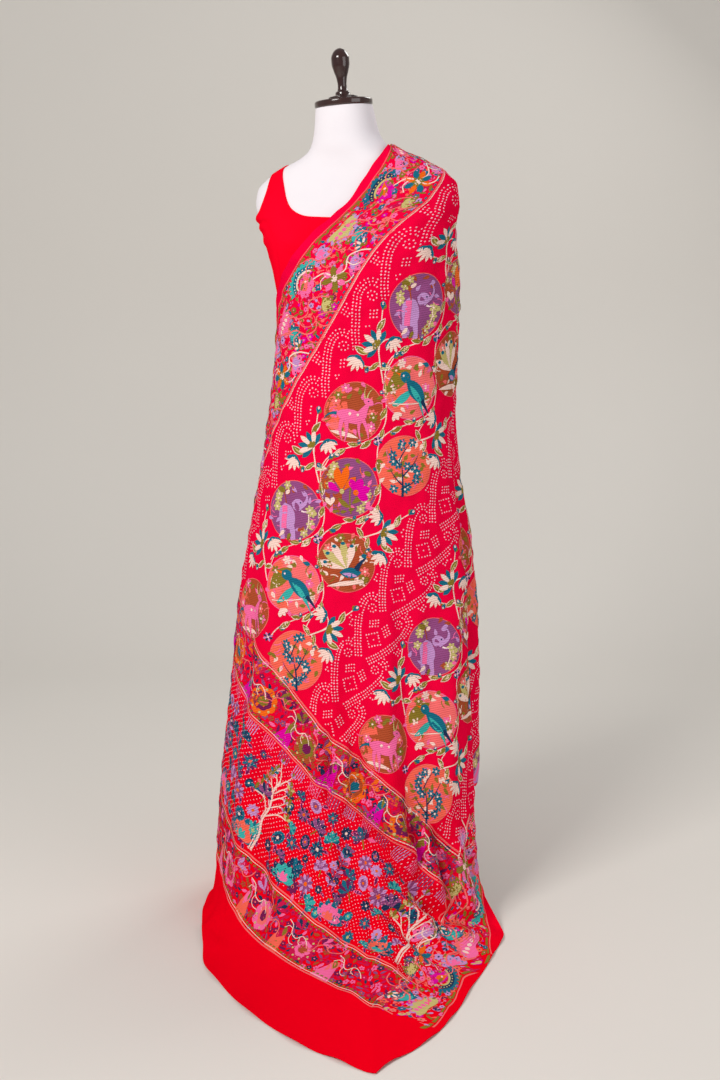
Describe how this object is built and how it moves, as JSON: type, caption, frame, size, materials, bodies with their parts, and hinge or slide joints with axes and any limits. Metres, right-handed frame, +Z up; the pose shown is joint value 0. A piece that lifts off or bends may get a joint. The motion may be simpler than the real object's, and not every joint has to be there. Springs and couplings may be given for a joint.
{
  "type": "bandhani sari on a dress form",
  "caption": "Long tie-dyed and embroidered red sari draped over the shoulder of a dress form, above a fitted blouse, with its end spread on the floor as a train.",
  "frame": {"origin": "centre of the stand's flat underside, on the floor", "axes": "+Z up along the stand; the viewer stands at -Y and +X is to the viewer's right"},
  "size_m": [0.5751, 0.8513, 1.6165],
  "materials": {
    "dark_wood": "dark stained",
    "pole_steel": "brushed",
    "form_jersey": "matte knit",
    "cap_wood": "dark gloss varnish",
    "finial_wood": "dark gloss varnish",
    "blouse_crepe": "matte crepe",
    "sari_silk": "soft sheen, tie-dyed dots and embroidery"
  },
  "bodies": {
    "root": {"base": "dark_wood", "pole": "pole_steel", "form": "form_jersey", "neck_cap": "cap_wood", "finial": "finial_wood", "blouse": "blouse_crepe", "sari": "sari_silk"}
  },
  "joints": []
}
